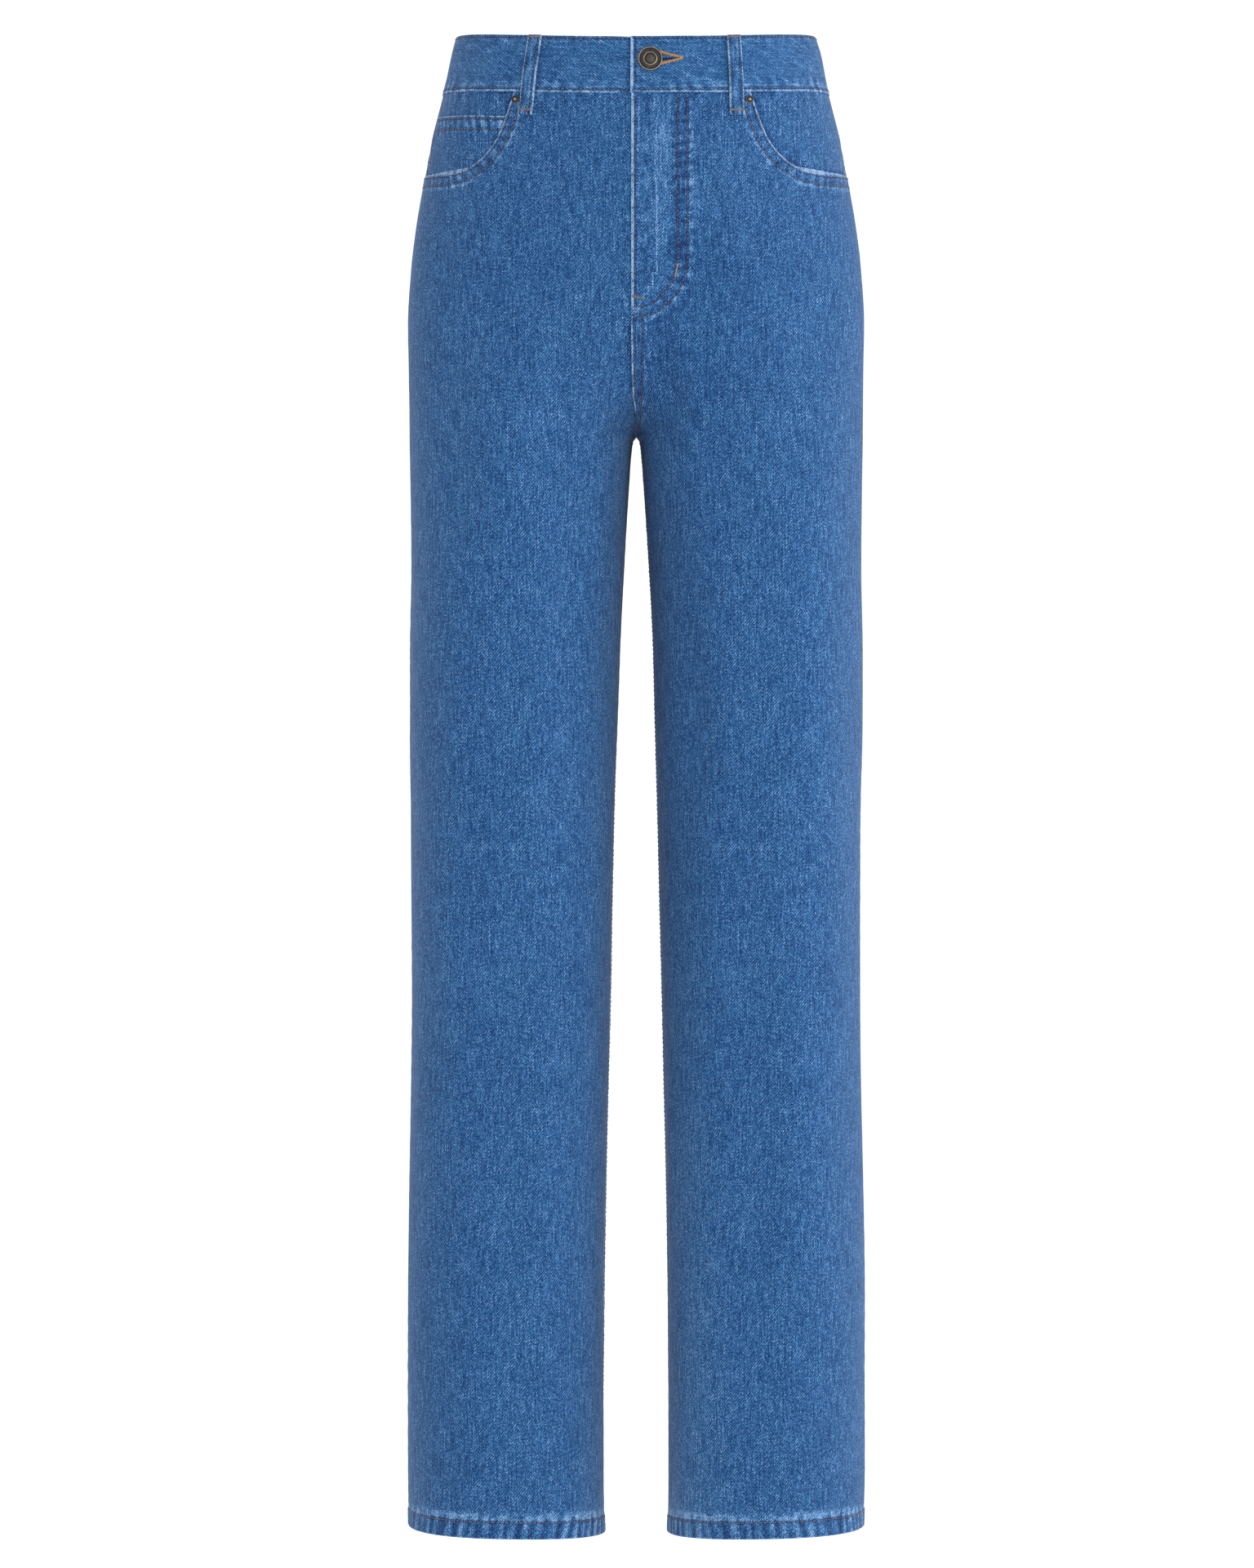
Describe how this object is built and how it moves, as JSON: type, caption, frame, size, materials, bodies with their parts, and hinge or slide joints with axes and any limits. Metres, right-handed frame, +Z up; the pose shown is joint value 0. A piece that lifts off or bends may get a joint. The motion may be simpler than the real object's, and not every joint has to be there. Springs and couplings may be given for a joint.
{
  "type": "wide leg jeans",
  "caption": "High-waisted denim jeans with wide straight legs, filled out and hollow, with a waistband, fly button, belt loops, scooped front pockets and patch back pockets.",
  "frame": {"origin": "centre of the waistband ring, half way up the band at the sides, where the wearer's waist holds the garment", "axes": "+Z up the body, -Y is the front, +X the wearer's left"},
  "size_m": [0.32, 0.2408, 1.0499],
  "materials": {
    "denim": "matte stonewashed twill",
    "waistband_denim": "matte stonewashed twill, cut across",
    "zip_tape": "matte",
    "zip_brass": "dull",
    "antique_metal": "antique"
  },
  "bodies": {
    "root": {"front_left": "denim", "front_right": "denim", "back_left": "denim", "back_right": "denim", "yoke_left": "denim", "yoke_right": "denim", "waistband": "waistband_denim", "belt_loop_front_left": "waistband_denim", "belt_loop_front_right": "waistband_denim", "belt_loop_back_left": "waistband_denim", "belt_loop_back_right": "waistband_denim", "belt_loop_centre_back": "waistband_denim", "pocket_facing_left": "denim", "pocket_facing_right": "denim", "coin_pocket": "denim", "back_pocket_left": "denim", "back_pocket_right": "denim", "fly_shield": "denim", "zip_chain": "zip_tape", "zip_slider": "zip_brass", "button": "antique_metal", "button_tack": "antique_metal", "rivet_left": "antique_metal", "rivet_right": "antique_metal"}
  },
  "joints": []
}
